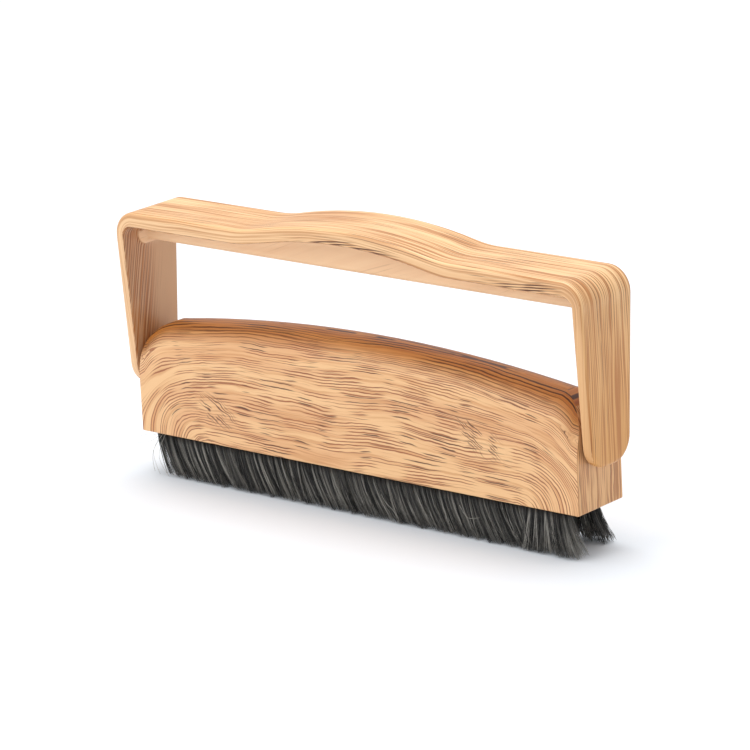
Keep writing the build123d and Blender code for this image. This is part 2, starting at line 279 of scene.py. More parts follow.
def body_film(settings):
    """Wood-grain film on the body: honey ground, broken reddish lines that bend down at both ends."""
    material, tree = new_material("wood_grain_film_body")
    grain = put(tree, "ShaderNodeUVMap", uv_map="grain")
    along, across = (put(tree, "ShaderNodeSeparateXYZ", (grain,), axis) for axis in (0, 1))
    end_grain, crown = (put(tree, "ShaderNodeAttribute", (), "Fac", attribute_name=name)
                        for name in ("end_grain", "crown"))
    face = put(tree, MATH, (1.0, end_grain), operation="SUBTRACT")

    # Over the crown the lines run straight to the ends.
    below_crown = put(tree, MATH, (1.0, crown), operation="SUBTRACT")
    turning = put(tree, MATH, (along, below_crown), operation="MULTIPLY")
    above = put(tree, MATH, (across, LINE_CENTRE), operation="ADD")
    reach, level = turned_down(tree, turning, above, LINE_TURNS)
    level = put(tree, MATH, (level, face), operation="MULTIPLY")
    level = put(tree, MATH, (end_grain, across, level), operation="MULTIPLY_ADD")
    angle = put(tree, MATH, (reach, above), operation="ARCTAN2")
    side = put(tree, MATH, (along,), operation="SIGN")
    angle = put(tree, MATH, (angle, side), operation="MULTIPLY")
    angle = put(tree, MATH, (angle, face), operation="MULTIPLY")
    follow = put(tree, MATH, (angle, 5.0, along), operation="MULTIPLY_ADD")

    # Slow waves, then small ones, then the tremble of each line.
    level = wavy(tree, follow, level, 36.0, 14.0, 1.8)
    level = wavy(tree, follow, level, 8.0, 2.6, 0.34)
    level = wavy(tree, follow, level, 2.6, 1.6, 0.13)

    # Two knots: the lines thin out there, and short slanting strokes take their place.
    knots = 0.0
    for centre, half_size in KNOTS:
        near = spot(tree, grain, centre, half_size, KNOT_TURN)
        knots = put(tree, MATH, (near, knots), operation="MAXIMUM")
    slant = put(tree, "ShaderNodeVectorRotate", {"Vector": grain, "Angle": SCRIBBLE_TURN},
                rotation_type="Z_AXIS")
    knot_along, knot_across = (put(tree, "ShaderNodeSeparateXYZ", (slant,), axis) for axis in (0, 1))
    knot_across = wavy(tree, knot_along, knot_across, 3.0, 2.0, 0.7)
    scribble = growth_lines(tree, knot_along, knot_across, 1.15, 4.0, 0.50, 0.85, 0.0, 41.0)
    scribble = put(tree, MATH, (scribble, knots), operation="MULTIPLY")

    # Lines are quiet at the knots, the crown and the ends, and some stop where they turn down.
    calm = put(tree, MATH, (knots, -0.65, 1.0), operation="MULTIPLY_ADD")
    calm = put(tree, MATH, (crown, -0.55, calm), operation="MULTIPLY_ADD")
    quiet = put(tree, MATH, (end_grain, -0.30, calm), operation="MULTIPLY_ADD", use_clamp=True)
    bend = put(tree, "ShaderNodeMapRange", {"Value": reach, "From Min": 9.0, "From Max": 4.0})
    spare = put(tree, MATH, (quiet, bend), operation="MULTIPLY")

    broad = wavy(tree, follow, level, 60.0, 5.0, 2.0)
    bands = streaks(tree, follow, broad, 62.0, 2.8, 0.44, 0.66, 0.50)
    fine = streaks(tree, follow, level, 22.0, 0.66, 0.46, 0.72, 0.55)
    sides = put(tree, MATH, (end_grain, fine), operation="MULTIPLY")
    lines = []
    # Pitch and dash in millimetres, width, cover, faint, seed, and where the lines show.
    for pitch, dash, width, cover, faint, seed, shown in (
        (1.19, 13.0, 0.46, 0.82, 0.18, 3.0, quiet), (1.63, 12.0, 0.32, 0.50, 0.0, 11.0, spare),
        (2.05, 8.0, 0.28, 0.48, 0.0, 23.0, quiet), (2.10, 30.0, 0.52, 1.00, 0.35, 61.0, crown),
    ):
        drawn = growth_lines(tree, follow, level, pitch, dash, width, cover, faint, seed)
        lines.append(put(tree, MATH, (drawn, shown), operation="MULTIPLY"))
    reddish, more, dark, long_lines = lines

    colour = inked(tree, rgba(settings.body_ground), (
        (bands, 1.0, "#DBA070"), (fine, 1.0, "#C98A55"), (end_grain, 0.38, "#C89055"),
        (sides, 1.1, "#9A5F30")))
    # Painted shade: the crown, under the handle's bar, is multiplied darker.
    colour = put(tree, "ShaderNodeMix", {0: crown, 6: colour, 7: rgba(settings.body_crown_shade)}, 2,
                 data_type="RGBA", blend_type="MULTIPLY")
    colour = inked(tree, colour, (
        (reddish, 0.86, settings.body_line), (more, 0.80, "#8A4C30"), (dark, 0.90, settings.dark_line),
        (long_lines, 1.0, "#522A12"), (scribble, 0.95, "#5E3323")))
    satin_film(tree, colour, put(tree, MATH, (reddish, dark), operation="MAXIMUM"))
    return material


def handle_film(settings):
    """Wood-grain film on the handle: pale, with fine straight lines that flow round the corners."""
    material, tree = new_material("wood_grain_film_handle")
    grain = put(tree, "ShaderNodeUVMap", uv_map="grain")
    along, across = (put(tree, "ShaderNodeSeparateXYZ", (grain,), axis) for axis in (0, 1))
    plain, leg, inside = (put(tree, "ShaderNodeAttribute", (), "Fac", attribute_name=name)
                          for name in ("plain", "leg", "inside"))
    shown = put(tree, MATH, (1.0, plain), operation="SUBTRACT")

    level = wavy(tree, along, across, 46.0, 9.0, 1.5)
    level = wavy(tree, along, level, 12.0, 2.0, 0.22)
    bands = streaks(tree, along, level, 70.0, 2.0, 0.42, 0.64, 0.65)
    fine = streaks(tree, along, level, 33.0, 0.59, 0.42, 0.66, 0.80)
    fine = put(tree, MATH, (fine, shown), operation="MULTIPLY")

    amber = growth_lines(tree, along, level, 1.05, 30.0, 0.46, 0.66, 0.40, 5.0)
    amber = put(tree, MATH, (amber, shown), operation="MULTIPLY")
    seldom = put(tree, MATH, (leg, -0.35, 1.0), operation="MULTIPLY_ADD")
    seldom = put(tree, MATH, (plain, -0.8, seldom), operation="MULTIPLY_ADD", use_clamp=True)
    brown = growth_lines(tree, along, level, 2.1, 15.0, 0.24, 0.36, 0.0, 17.0)
    brown = put(tree, MATH, (brown, seldom), operation="MULTIPLY")

    # Two flames of slanting strokes, low on the bar's front edge: a broad one and a long thin one.
    flames = 0.0
    for centre, half_size in FLAMES:
        near = spot(tree, grain, centre, half_size)
        flames = put(tree, MATH, (near, flames), operation="MAXIMUM")
    slant = put(tree, MATH, (along, -0.10, across), operation="MULTIPLY_ADD")
    strokes = growth_lines(tree, along, slant, 1.0, 12.0, 0.66, 1.20, 0.25, 29.0)
    strokes = put(tree, MATH, (strokes, flames), operation="MULTIPLY")
    # Fine dark lines crowd round the right-hand corner.
    corner = spot(tree, grain, *CORNER_CROWD)
    crowd = growth_lines(tree, along, level, 1.35, 16.0, 0.30, 0.85, 0.15, 71.0)
    crowd = put(tree, MATH, (crowd, corner), operation="MULTIPLY")
    # Brown streaks that part like a V on the front half of the inner faces.
    veins = growth_lines(tree, along, level, 1.9, 14.0, 0.55, 0.95, 0.2, 53.0)
    veins = put(tree, MATH, (veins, inside), operation="MULTIPLY")
    veins = put(tree, MATH, (veins, shown), operation="MULTIPLY")

    # Painted shade: the leg tint darkens the legs' outer faces and the right leg's edges, more towards the
    # feet.
    colour = inked(tree, rgba(settings.handle_ground), (
        # Painted shade: the inside tint browns the faces that look into the bail, under the bar and on the
        # legs' inner sides.
        (bands, 1.0, "#E8B680"), (plain, 0.60, "#EFC6A0"), (leg, 0.82, "#D4974F"), (inside, 1.0, "#CBA078"),
        (fine, 1.0, settings.handle_line), (amber, 0.66, "#A4602A"), (brown, 0.85, "#70411F"),
        (veins, 0.75, "#8A5630"), (crowd, 0.85, "#7C4A22"), (strokes, 1.0, "#5C3219")))
    satin_film(tree, colour, amber)
    return material


def fibre_charcoal(settings):
    """Fine carbon-black fibres: painted shade keeps them nearly black between tufts and at their roots, and
    a painted grey sheen runs along each one.
    """
    material, tree = new_material("fine_charcoal_fibre")
    painted_sheen_and_shade = put(tree, "ShaderNodeAttribute", (), "Fac", attribute_name="painted_sheen_and_shade")
    painted_sheen_and_shade = put(tree, "ShaderNodeMapRange", {"Value": painted_sheen_and_shade, "From Min": 0.15, "From Max": 1.25})
    colour = inked(tree, rgba(settings.colour), ((painted_sheen_and_shade, 1.0, "#B0ACA4"),))
    shader = put(tree, "ShaderNodeBsdfPrincipled", {
        "Base Color": colour, "Roughness": 0.46, "IOR": 1.5, "Specular IOR Level": 0.5})
    put(tree, "ShaderNodeOutputMaterial", {"Surface": shader})
    return material


def stray_nylon():
    """Loose pale hairs caught among the fibres: thin, translucent-looking nylon."""
    material, tree = new_material("pale_loose_hair")
    position = put(tree, "ShaderNodeTexCoord", (), "Object")
    change = put(tree, NOISE, {"Vector": position, "Scale": 600.0})
    colour = inked(tree, rgba("#C9C6BE"), ((change, 1.0, "#9B988F"),))
    shader = put(tree, "ShaderNodeBsdfPrincipled", {"Base Color": colour, "Roughness": 0.35, "IOR": 1.53})
    put(tree, "ShaderNodeOutputMaterial", {"Surface": shader})
    return material


def moulded_plastic(name, light, dark, roughness):
    """Moulded engineering plastic: a fine spark-eroded grain, about 0.25 mm, and a slight shift of tone."""
    material, tree = new_material(name)
    position = put(tree, "ShaderNodeTexCoord", (), "Object")
    grain = put(tree, NOISE, {"Vector": position, "Scale": 4000.0, "Detail": 2.0})
    # The tone changes over about 11 mm.
    tone = put(tree, NOISE, {"Vector": position, "Scale": 90.0, "Detail": 2.0})
    colour = inked(tree, rgba(dark), ((tone, 1.0, light),))
    bump = put(tree, "ShaderNodeBump", {"Height": grain, "Strength": 0.35, "Distance": 0.00005})
    shader = put(tree, "ShaderNodeBsdfPrincipled", {
        "Base Color": colour, "Roughness": roughness, "IOR": 1.5, "Normal": bump})
    put(tree, "ShaderNodeOutputMaterial", {"Surface": shader})
    return material


def worked_metal(name, light, dark, roughness, stretch):
    """Drawn, rolled or ground metal: fine marks that run one way, and a little uneven polish.

    stretch is how many marks there are to a metre along each axis.
    """
    material, tree = new_material(name)
    position = put(tree, "ShaderNodeTexCoord", (), "Object")
    drawn = put(tree, "ShaderNodeMapping", {"Vector": position, "Scale": stretch})
    marks = put(tree, NOISE, {"Vector": drawn, "Scale": 1.0, "Detail": 3.0})
    colour = inked(tree, rgba(dark), ((marks, 1.0, light),))
    polish = put(tree, "ShaderNodeMapRange", {"Value": marks, "To Min": roughness - 0.07,
                                              "To Max": roughness + 0.09})
    bump = put(tree, "ShaderNodeBump", {"Height": marks, "Strength": 0.2, "Distance": 0.00003})
    shader = put(tree, "ShaderNodeBsdfPrincipled", {
        "Base Color": colour, "Metallic": 1.0, "Roughness": polish, "Normal": bump})
    put(tree, "ShaderNodeOutputMaterial", {"Surface": shader})
    return material


# ---- printed skins ------------------------------------------------------------------------------------
def skin_over(node, name, grain_at, **masks):
    """A copy of a frame node with the film's own map: grain_at gives along and across in millimetres.

    Each mask is a function of a corner's place and its face's normal, and is stored under its own name.
    """
    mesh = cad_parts[node].data.copy()
    mesh.name = name
    skin = bpy.data.objects.new(name, mesh)
    bpy.context.scene.collection.objects.link(skin)
    grain = mesh.uv_layers.new(name="grain")
    corners = {key: [0.0] * len(mesh.loops) for key in masks}
    flat = [0.0] * (2 * len(mesh.loops))
    for polygon in mesh.polygons:
        for corner in polygon.loop_indices:
            place = mesh.vertices[mesh.loops[corner].vertex_index].co
            flat[2 * corner:2 * corner + 2] = grain_at(place, polygon.normal)
            for key, mask in masks.items():
                corners[key][corner] = mask(place, polygon.normal)
    grain.data.foreach_set("uv", flat)
    for key, values in corners.items():
        mesh.attributes.new(key, "FLOAT", "CORNER").data.foreach_set("value", values)
    return skin


def faces_end(normal):
    """Whether a face of the body is one of its upright ends."""
    return abs(normal.x) > 0.7


def body_grain(place, normal):
    """Along and across the grain on the body: the film wraps over the top, and the ends have their own."""
    x, y, z = (c / MM for c in place)
    if faces_end(normal):
        return z, y + (RIGHT_END_SHIFT if normal.x > 0 else LEFT_END_SHIFT)
    # The lines draw together towards the ends, as the arch comes down, and mirror at the crest.
    rise = (z - UNDERSIDE / MM) * (BODY_HIGH.z - UNDERSIDE) / (arch_top(place.x) - UNDERSIDE)
    return x, rise + BODY_SIDE / MM - abs(y)


def smooth(low, high, value):
    """0 below low, 1 above high, and a smooth step between."""
    t = min(max((value - low) / (high - low), 0.0), 1.0)
    return t * t * (3 - 2 * t)


def arch_top(x):
    """Height of the body's arched top at a distance x from the middle, with its rounded corners."""
    past = min(max(0.0, abs(x) - (BODY_HIGH.x - BODY_CORNER)), 0.8 * BODY_CORNER)
    return BODY_HIGH.z - x * x / (2 * ARCH_RADIUS) - BODY_CORNER + (BODY_CORNER ** 2 - past ** 2) ** 0.5


def body_crown_shade(place, normal):
    """1 on the top of the body, where shade under the handle's bar is painted in and the grain runs in long
    lines, and 0 below its long upper edges.
    """
    return 0.0 if faces_end(normal) else smooth(-CROWN_DEPTH, 0.0, (place.z - arch_top(place.x)) / MM)


def body_end(place, normal):
    """1 on the upright ends of the body."""
    return 1.0 if faces_end(normal) else 0.0


def bail_place(place):
    """Distance along the bail, depth under its outer surface, and the outward direction there."""
    x, z = place.x, place.z
    side = 1 if x >= 0 else -1
    start = HANDLE_HIGH.x - BAR_CORNER
    level = BAR_TOP - BAR_CORNER
    if abs(x) > start - 1e-6 and z > level:
        run, rise = abs(x) - start, z - level
        angle = atan2(run, rise)
        return (side * (start + BAR_CORNER * angle), BAR_CORNER - hypot(run, rise),
                Vector((side * sin(angle), 0, cos(angle))))
    if abs(x) > LEG_INNER - 0.3 * MM and z <= level:
        return (side * (start + BAR_CORNER * pi / 2 + level - z), HANDLE_HIGH.x - abs(x),
                Vector((side, 0, 0)))
    # The rise runs out into the level bar in a soft curve.
    rise = RISE_HEIGHT - x * x / (2 * RISE_RADIUS)
    rise = (rise + hypot(rise, RISE_BLEND)) / 2
    return x, BAR_TOP + rise - z, Vector((0, 0, 1))


def bail_face(place, normal):
    """Which part of the bail's surface this is: outer, edge, inner or web."""
    along, depth, outward = bail_place(place)
    if outward.z > 0.9 and depth > BAR_THICKNESS + 0.15 * MM:
        return "web"
    facing = normal.dot(outward)
    if facing < -0.5:
        return "inner"
    return "edge" if abs(normal.y) > 0.75 else "outer"


def bail_grain(place, normal):
    """Along and across the grain on the bail: the film flows from the bar round the corners to the legs."""
    along, depth, outward = bail_place(place)
    along, depth, y = along / MM, depth / MM, place.y / MM
    face = bail_face(place, normal)
    side = 1 if y >= 0 else -1
    if face == "web":
        x, z = place.x / MM, place.z / MM
        level, climb = WEB_GRAIN
        return level * x + climb * z, level * z - climb * x + WEB_SHIFT * side
    if face == "inner":
        # The lines part towards the foot of each leg.
        return along, 1.3 * y + 0.25 * abs(along) + INNER_SHIFT
    return along, y + side * depth


def bail_plain(place, normal):
    """1 where the film is nearly plain: the edges of the legs, the web, and the rear of the inner faces."""
    face = bail_face(place, normal)
    if face == "edge":
        return 0.3 + 0.5 * smooth(0, 10, (BAR_TOP - place.z) / MM)
    if face == "inner":
        return smooth(-3, 2, place.y / MM)
    return 1.0 if face == "web" else 0.0


def bail_inside(place, normal):
    """1 on the surfaces that face the middle of the bail, where a browner tint paints in their shade and
    the V-shaped veins run.
    """
    return 1.0 if bail_face(place, normal) == "inner" else 0.0


def bail_leg_shade(place, normal):
    """How much painted shade darkens the bail: growing over 12 mm down from the bar's top, most on the
    outside of the legs, less on the right leg's edges and least on the left leg's edges.
    """
    down = smooth(0, 12, (BAR_TOP - place.z) / MM)
    share = {"outer": 1.0, "edge": 0.75 if place.x > 0 else 0.15}
    return down * share.get(bail_face(place, normal), 0.0)


# ---- operators ----------------------------------------------------------------------------------------
class RECORD_BRUSH_OT_stage(Operator):
    """Sets a pale floor, soft studio light and the camera"""

    bl_idname = "record_brush.stage"
    bl_label = "Stage"

    def execute(self, context):
        scene = context.scene
        settings = scene.record_brush_stage
        scene.view_settings.view_transform = "Standard"

        half = 3.0                        # of the floor's side, in metres
        mesh = bpy.data.meshes.new("floor")
        mesh.from_pydata([(-half, -half, 0), (half, -half, 0), (half, half, 0), (-half, half, 0)], [],
                         [(0, 1, 2, 3)])
        floor = bpy.data.objects.new("floor", mesh)
        scene.collection.objects.link(floor)
        material, tree = new_material("white_sweep_paper")
        position = put(tree, "ShaderNodeTexCoord", (), "Object")
        tooth = put(tree, NOISE, {"Vector": position, "Scale": 900.0, "Detail": 2.0})
        bump = put(tree, "ShaderNodeBump", {"Height": tooth, "Strength": 0.05, "Distance": 0.0001})
        shader = put(tree, "ShaderNodeBsdfPrincipled", {
            "Base Color": rgba("#ECF1F7"), "Roughness": 0.9, "Specular IOR Level": 0.1, "Normal": bump})
        put(tree, "ShaderNodeOutputMaterial", {"Surface": shader})
        mesh.materials.append(material)

        world = bpy.data.worlds.new("soft_white_room")
        world.use_nodes = True
        background = world.node_tree.nodes["Background"]
        background.inputs["Color"].default_value = rgba("#FFFFFF")
        background.inputs["Strength"].default_value = 0.74
        scene.world = world

        # Name, place and side in metres, and power in watts.
        for name, place, size, power in (
            ("overhead_softbox", (-0.12, 0.14, 0.95), 0.7, 6.2),
            ("front_softbox", (-0.60, -1.0, 0.75), 0.7, 4.2),
        ):
            light = bpy.data.lights.new(name, "AREA")
            light.shape = "SQUARE"
            light.size = size
            light.energy = power
            lamp = bpy.data.objects.new(name, light)
            lamp.location = place
            towards = Vector((0, 0, 0.03)) - Vector(place)
            lamp.rotation_euler = towards.to_track_quat("-Z", "Y").to_euler()
            scene.collection.objects.link(lamp)

        turn, tilt, roll = settings.azimuth, settings.elevation, settings.roll
        back = Vector((sin(turn) * cos(tilt), -cos(turn) * cos(tilt), sin(tilt)))
        level = Vector((cos(turn), sin(turn), 0))
        upright = back.cross(level)
        right = level * cos(roll) + upright * sin(roll)
        up = -level * sin(roll) + upright * cos(roll)
        aim = Vector((1.115, 0, UNDERSIDE / MM + 17.706)) * MM        # a point just over the body
        camera = bpy.data.objects.new("camera", bpy.data.cameras.new("camera"))
        camera.data.sensor_width = 36
        camera.data.lens = settings.lens
        camera.data.clip_end = 20
        placed = Matrix((right, up, back)).transposed().to_4x4()
        placed.translation = aim + back * settings.distance
        camera.matrix_world = placed
        scene.collection.objects.link(camera)
        scene.camera = camera
        return {"FINISHED"}


class RECORD_BRUSH_OT_body(Operator):
    """Covers the moulded body with its wood-grain film"""

    bl_idname = "record_brush.body"
    bl_label = "Body"

    def execute(self, context):
        skin = skin_over("body_shell", "printed_body", body_grain, crown=body_crown_shade, end_grain=body_end)
        skin.data.materials.clear()
        skin.data.materials.append(body_film(context.scene.record_brush_film))
        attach(skin, "brush")
        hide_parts("body_shell")
        return {"FINISHED"}


class RECORD_BRUSH_OT_handle(Operator):
    """Covers the swing handle with its wood-grain film"""

    bl_idname = "record_brush.handle"
    bl_label = "Handle"

    def execute(self, context):
        skin = skin_over("handle", "printed_handle", bail_grain, plain=bail_plain, inside=bail_inside,
                         leg=bail_leg_shade)
        skin.data.materials.clear()
        skin.data.materials.append(handle_film(context.scene.record_brush_film))
        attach(skin, "swing_handle")
        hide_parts("handle")
        return {"FINISHED"}


def fibre_tree():
    """Node tree that plants, bends and cuts one stretch of a fibre row.

    Fibres are thin three-sided rods. They lean to the right towards their tips, draw together in tufts,
    fan out at the right-hand end of the row, and end a little unevenly.
    """
    tree = bpy.data.node_groups.new("fibre_row", "GeometryNodeTree")
    face = tree.interface
    face.new_socket("Geometry", in_out="OUTPUT", socket_type="NodeSocketGeometry")
    sockets = {"Count": "Int", "Seed": "Int", "Material": "Material"}
    sockets.update(dict.fromkeys(("Start", "End", "Row End", "Centre", "Root Width", "Tip Width", "Reach",
                                  "Root Height", "Thickness", "Sweep"), "Float"))
    for name, kind in sockets.items():
        face.new_socket(name, in_out="INPUT", socket_type="NodeSocket" + kind)
    given = tree.nodes.new("NodeGroupInput").outputs

    drawn = {}
    # Each fibre also draws its own share of the painted sheen.
    for number, (name, low, high) in enumerate((
        ("root", given["Start"], given["End"]), ("spread", -1.0, 1.0), ("wild", -1.0, 1.0),
        ("painted_sheen_and_shade", 0.0, 1.0), ("uneven", 0.0, 1.0), ("turn", 0.0, 2 * pi),
    )):
        seed = put(tree, MATH, (given["Seed"], number + 1), operation="ADD")
        drawn[name] = put(tree, "FunctionNodeRandomValue", {2: low, 3: high, "Seed": seed}, 1,
                          data_type="FLOAT")
    half_root = put(tree, MATH, (given["Root Width"], 0.5), operation="MULTIPLY")
    deep = put(tree, MATH, (drawn["spread"], half_root, given["Centre"]), operation="MULTIPLY_ADD")
    low = put(tree, MATH, (given["Root Height"], given["Reach"]), operation="SUBTRACT")
    place = put(tree, "ShaderNodeCombineXYZ", (drawn["root"], deep, low))
    roots = put(tree, "GeometryNodePoints", {"Count": given["Count"], "Position": place})
    turn = put(tree, "ShaderNodeCombineXYZ", {2: drawn.pop("turn")})
    for name, value in drawn.items():
        roots = put(tree, "GeometryNodeStoreNamedAttribute", {
            "Geometry": roots, "Name": name, "Value": value}, data_type="FLOAT", domain="POINT")

    tip = put(tree, MATH, (given["Thickness"], 0.22), operation="MULTIPLY")
    thick = put(tree, MATH, (given["Thickness"], 0.5), operation="MULTIPLY")
    rod = put(tree, "GeometryNodeMeshCone", {
        "Vertices": 3, "Side Segments": 4, "Fill Segments": 1, "Radius Top": thick, "Radius Bottom": tip,
        "Depth": given["Reach"]}, fill_type="NGON")
    turn = put(tree, "FunctionNodeEulerToRotation", (turn,))
    planted = put(tree, "GeometryNodeInstanceOnPoints", {
        "Points": roots, "Instance": rod, "Rotation": turn})
    fibres = put(tree, "GeometryNodeRealizeInstances", {"Geometry": planted})
    own = {name: put(tree, "GeometryNodeInputNamedAttribute", {"Name": name}, data_type="FLOAT")
           for name in drawn}
    # Shifts the noise, so that the two rows differ.
    row = put(tree, MATH, (given["Centre"], 900.0), operation="MULTIPLY")

    def ripple(size, offset):
        """Smooth change along the row, from -1 to 1, with this size in metres."""
        start = put(tree, MATH, (row, offset), operation="ADD")
        place = put(tree, MATH, (own["root"], 1 / size, start), operation="MULTIPLY_ADD")
        noise = put(tree, NOISE, {"W": place, "Scale": 1.0, "Detail": 0.0}, noise_dimensions="1D")
        return put(tree, MATH, (noise, 2.0, -1.0), operation="MULTIPLY_ADD")

    height = put(tree, "ShaderNodeSeparateXYZ", (put(tree, "GeometryNodeInputPosition"),), 2)
    down = put(tree, MATH, (given["Root Height"], height), operation="SUBTRACT")
    down = put(tree, MATH, (down, given["Reach"]), operation="DIVIDE")
    curl = put(tree, MATH, (down, 1.55), operation="POWER")

    # The last fibres at the right-hand end don't lean: they fan out both ways.
    lean = put(tree, MATH, (ripple(7 * MM, 0.0), 0.35, 0.85), operation="MULTIPLY_ADD")
    lean = put(tree, MATH, (lean, given["Sweep"]), operation="MULTIPLY")
    to_end = put(tree, MATH, (given["Row End"], own["root"]), operation="SUBTRACT")
    fan = put(tree, "ShaderNodeMapRange", {"Value": to_end, "From Min": FAN_START, "From Max": FAN_FULL},
              interpolation_type="SMOOTHSTEP")
    spreading = put(tree, "ShaderNodeMapRange", {
        "Value": to_end, "From Min": FAN_LENGTH, "From Max": 0.0, "To Min": FAN_LEFT, "To Max": FAN_RIGHT})
    fanned = put(tree, MATH, (own["wild"], 0.7 * MM, spreading), operation="MULTIPLY_ADD")
    shift = put(tree, "ShaderNodeMix", {0: fan, 2: lean, 3: fanned})
    # Tufts of about 1.6 mm, finer ones within them, and each fibre's own way.
    for part, amount in ((ripple(1.6 * MM, 40.0), 1.6 * MM), (ripple(0.62 * MM, 80.0), 0.62 * MM),
                         (own["wild"], 0.28 * MM)):
        shift = put(tree, MATH, (part, amount, shift), operation="MULTIPLY_ADD")
    shift = put(tree, MATH, (shift, curl), operation="MULTIPLY")

    # A row is wider at its tips than at its roots, and its outline wavers.
    half_tip = put(tree, MATH, (given["Tip Width"], 0.5), operation="MULTIPLY")
    open_out = put(tree, MATH, (half_tip, half_root), operation="SUBTRACT")
    aside = put(tree, MATH, (own["spread"], open_out), operation="MULTIPLY")
    aside = put(tree, MATH, (ripple(1.3 * MM, 120.0), 0.36 * MM, aside), operation="MULTIPLY_ADD")
    outwards = put(tree, MATH, (given["Centre"],), operation="SIGN")
    outwards = put(tree, MATH, (outwards, fan), operation="MULTIPLY")
    aside = put(tree, MATH, (outwards, 0.45 * MM, aside), operation="MULTIPLY_ADD")
    aside = put(tree, MATH, (aside, put(tree, MATH, (down, 1.2), operation="POWER")), operation="MULTIPLY")

    # Tips end unevenly: tuft by tuft, and a few fibres much shorter than the rest.
    ragged = put(tree, MATH, (ripple(1.1 * MM, 160.0), 0.55 * MM, 0.45 * MM), operation="MULTIPLY_ADD")
    short = put(tree, MATH, (own["uneven"], 3.0), operation="POWER")
    ragged = put(tree, MATH, (short, 1.1 * MM, ragged), operation="MULTIPLY_ADD")
    ragged = put(tree, MATH, (ragged, 0.02 * MM), operation="MAXIMUM")
    lift = put(tree, MATH, (ragged, down), operation="MULTIPLY")
    moved = put(tree, "ShaderNodeCombineXYZ", (shift, aside, lift))
    fibres = put(tree, "GeometryNodeSetPosition", {"Geometry": fibres, "Offset": moved})

    # Painted sheen runs in tufts and with each fibre's own draw, and painted shade darkens it towards the
    # roots.
    tone = put(tree, MATH, (ripple(0.7 * MM, 200.0), 2.1, own["painted_sheen_and_shade"]), operation="MULTIPLY_ADD")
    tone = put(tree, MATH, (tone, put(tree, MATH, (down, 0.5), operation="POWER")), operation="MULTIPLY")
    fibres = put(tree, "GeometryNodeStoreNamedAttribute", {
        "Geometry": fibres, "Name": "painted_sheen_and_shade", "Value": tone}, data_type="FLOAT", domain="POINT")
    for name in ("root", "spread", "wild", "uneven"):
        fibres = put(tree, "GeometryNodeRemoveAttribute", {"Geometry": fibres, "Name": name})
    fibres = put(tree, "GeometryNodeSetMaterial", {"Geometry": fibres, "Material": given["Material"]})
    put(tree, "NodeGroupOutput", {"Geometry": fibres})
    return tree


def plain_mesh_from(tree, name, values):
    """Runs a node tree with these input values, and returns its result as a plain object."""
    holder = bpy.data.objects.new(name + "_source", bpy.data.meshes.new(name + "_source"))
    bpy.context.scene.collection.objects.link(holder)
    modifier = holder.modifiers.new("fibres", "NODES")
    modifier.node_group = tree
    sockets = {s.name: s.identifier for s in tree.interface.items_tree if s.in_out == "INPUT"}
    for key, value in values.items():
        modifier[sockets[key]] = value
    graph = bpy.context.evaluated_depsgraph_get()
    mesh = bpy.data.meshes.new_from_object(holder.evaluated_get(graph))
    mesh.name = name
    bpy.data.objects.remove(holder)
    piece = bpy.data.objects.new(name, mesh)
    bpy.context.scene.collection.objects.link(piece)
    return piece


class RECORD_BRUSH_OT_fibres(Operator):
    """Plants the two rows of fine fibres"""

    bl_idname = "record_brush.fibres"
    bl_label = "Fibres"

    def execute(self, context):
        settings = context.scene.record_brush_fibres
        charcoal = fibre_charcoal(settings)
        tree = fibre_tree()
        for number, (row, node) in enumerate((("front", "front_bristles"), ("rear", "rear_bristles"))):
            low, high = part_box(node)
            centre = (low.y + high.y) / 2
            outwards = -1 if row == "front" else 1
            # The first fibres spill a little past the left-hand end of their channel.
            start, end = low.x - 0.8 * MM, high.x - (0.4 if row == "front" else 1.7) * MM
            middle = (start + end) / 2
            for half, (left, right) in enumerate(((start, middle), (middle, end))):
                piece = plain_mesh_from(tree, f"{row}_fibres_{'left' if half == 0 else 'right'}", {
                    "Count": settings.per_half_row, "Start": left, "End": right,
                    "Centre": centre + outwards * 0.15 * MM, "Root Width": 2.1 * MM, "Tip Width": 3.7 * MM,
                    "Reach": UNDERSIDE + 0.35 * MM, "Root Height": UNDERSIDE + 0.35 * MM,
                    "Thickness": settings.thickness, "Sweep": settings.sweep, "Row End": end,
                    "Seed": 100 * number + 10 * half + 7, "Material": charcoal})
                if not piece.data.polygons:
                    raise RuntimeError(f"{piece.name} has no fibres")
                piece.data.shade_smooth()
                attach(piece, "brush")
                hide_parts(node)
        return {"FINISHED"}


